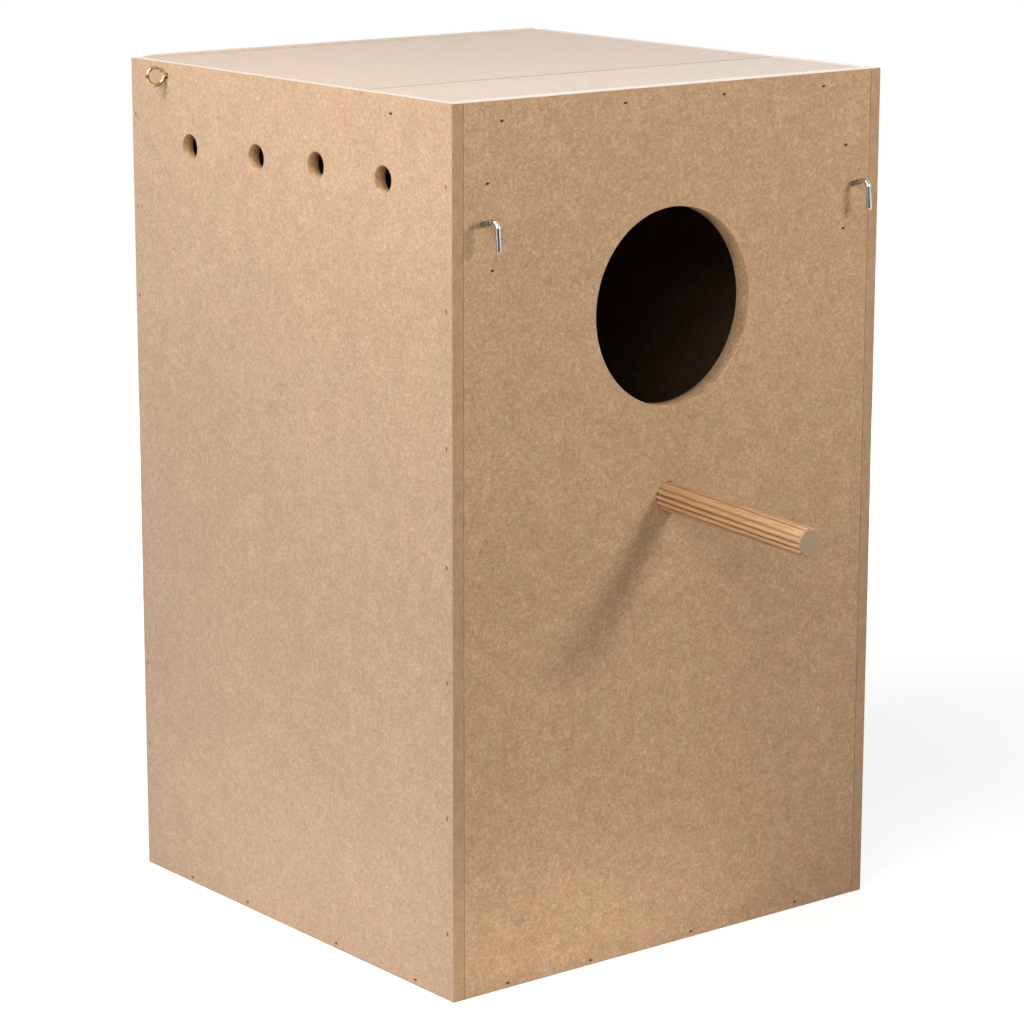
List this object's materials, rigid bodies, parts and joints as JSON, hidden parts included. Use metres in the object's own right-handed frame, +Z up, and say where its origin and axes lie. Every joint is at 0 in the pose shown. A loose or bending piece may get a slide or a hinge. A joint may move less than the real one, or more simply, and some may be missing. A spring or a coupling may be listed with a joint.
{
  "type": "parrot nest box",
  "caption": "Upright fibreboard nest box for parrots with a round entrance, a perch, vent holes, hooks for a cage's bars and a lid that tips open on two screw eyes.",
  "frame": {"origin": "middle of the box's footprint, on the surface that it stands on", "axes": "+Z up; -Y out of the front, the way that the perch points; +X to the right of someone who faces the front"},
  "size_m": [0.271, 0.3422, 0.401],
  "materials": {
    "fibreboard": "raw medium-density fibreboard, matt, with fine fibre flecks",
    "beech": "raw beech dowel with pressed flutes",
    "zinc_plate": "bright zinc-plated steel wire",
    "brass_plate": "bright brass-plated steel wire",
    "brad_steel": "dull steel"
  },
  "bodies": {
    "box": {"back_panel": "fibreboard", "base_panel": "fibreboard", "brad_front_01": "brad_steel", "brad_front_02": "brad_steel", "brad_front_03": "brad_steel", "brad_front_04": "brad_steel", "brad_front_05": "brad_steel", "brad_front_06": "brad_steel", "brad_front_07": "brad_steel", "brad_front_08": "brad_steel", "brad_front_09": "brad_steel", "brad_front_10": "brad_steel", "brad_front_11": "brad_steel", "brad_front_12": "brad_steel", "brad_left_01": "brad_steel", "brad_left_02": "brad_steel", "brad_left_03": "brad_steel", "brad_left_04": "brad_steel", "brad_left_05": "brad_steel", "brad_left_06": "brad_steel", "brad_left_07": "brad_steel", "brad_left_08": "brad_steel", "brad_left_09": "brad_steel", "brad_left_10": "brad_steel", "brad_left_11": "brad_steel", "brad_left_12": "brad_steel", "brad_left_13": "brad_steel", "brad_left_14": "brad_steel", "brad_left_15": "brad_steel", "brad_left_16": "brad_steel", "brad_left_17": "brad_steel", "brad_right_01": "brad_steel", "brad_right_02": "brad_steel", "brad_right_03": "brad_steel", "brad_right_04": "brad_steel", "brad_right_05": "brad_steel", "brad_right_06": "brad_steel", "brad_right_07": "brad_steel", "brad_right_08": "brad_steel", "brad_right_09": "brad_steel", "brad_right_10": "brad_steel", "brad_right_11": "brad_steel", "brad_right_12": "brad_steel", "brad_right_13": "brad_steel", "brad_right_14": "brad_steel", "brad_right_15": "brad_steel", "brad_right_16": "brad_steel", "cage_hook_left": "zinc_plate", "cage_hook_right": "zinc_plate", "front_panel": "fibreboard", "hook_block_left": "fibreboard", "hook_block_right": "fibreboard", "lid_rest": "fibreboard", "perch": "beech", "side_panel_left": "fibreboard", "side_panel_right": "fibreboard", "top_strip": "fibreboard"},
    "lid": {"lid": "fibreboard", "pivot_eye_left": "brass_plate", "pivot_eye_right": "brass_plate"}
  },
  "joints": [
    {"name": "lid_hinge", "type": "hinge", "parent": "box", "child": "lid", "pos_m": [0, 0.0945, 0.394], "axis": [-1, 0, 0], "range_deg": [0, 149]}
  ]
}
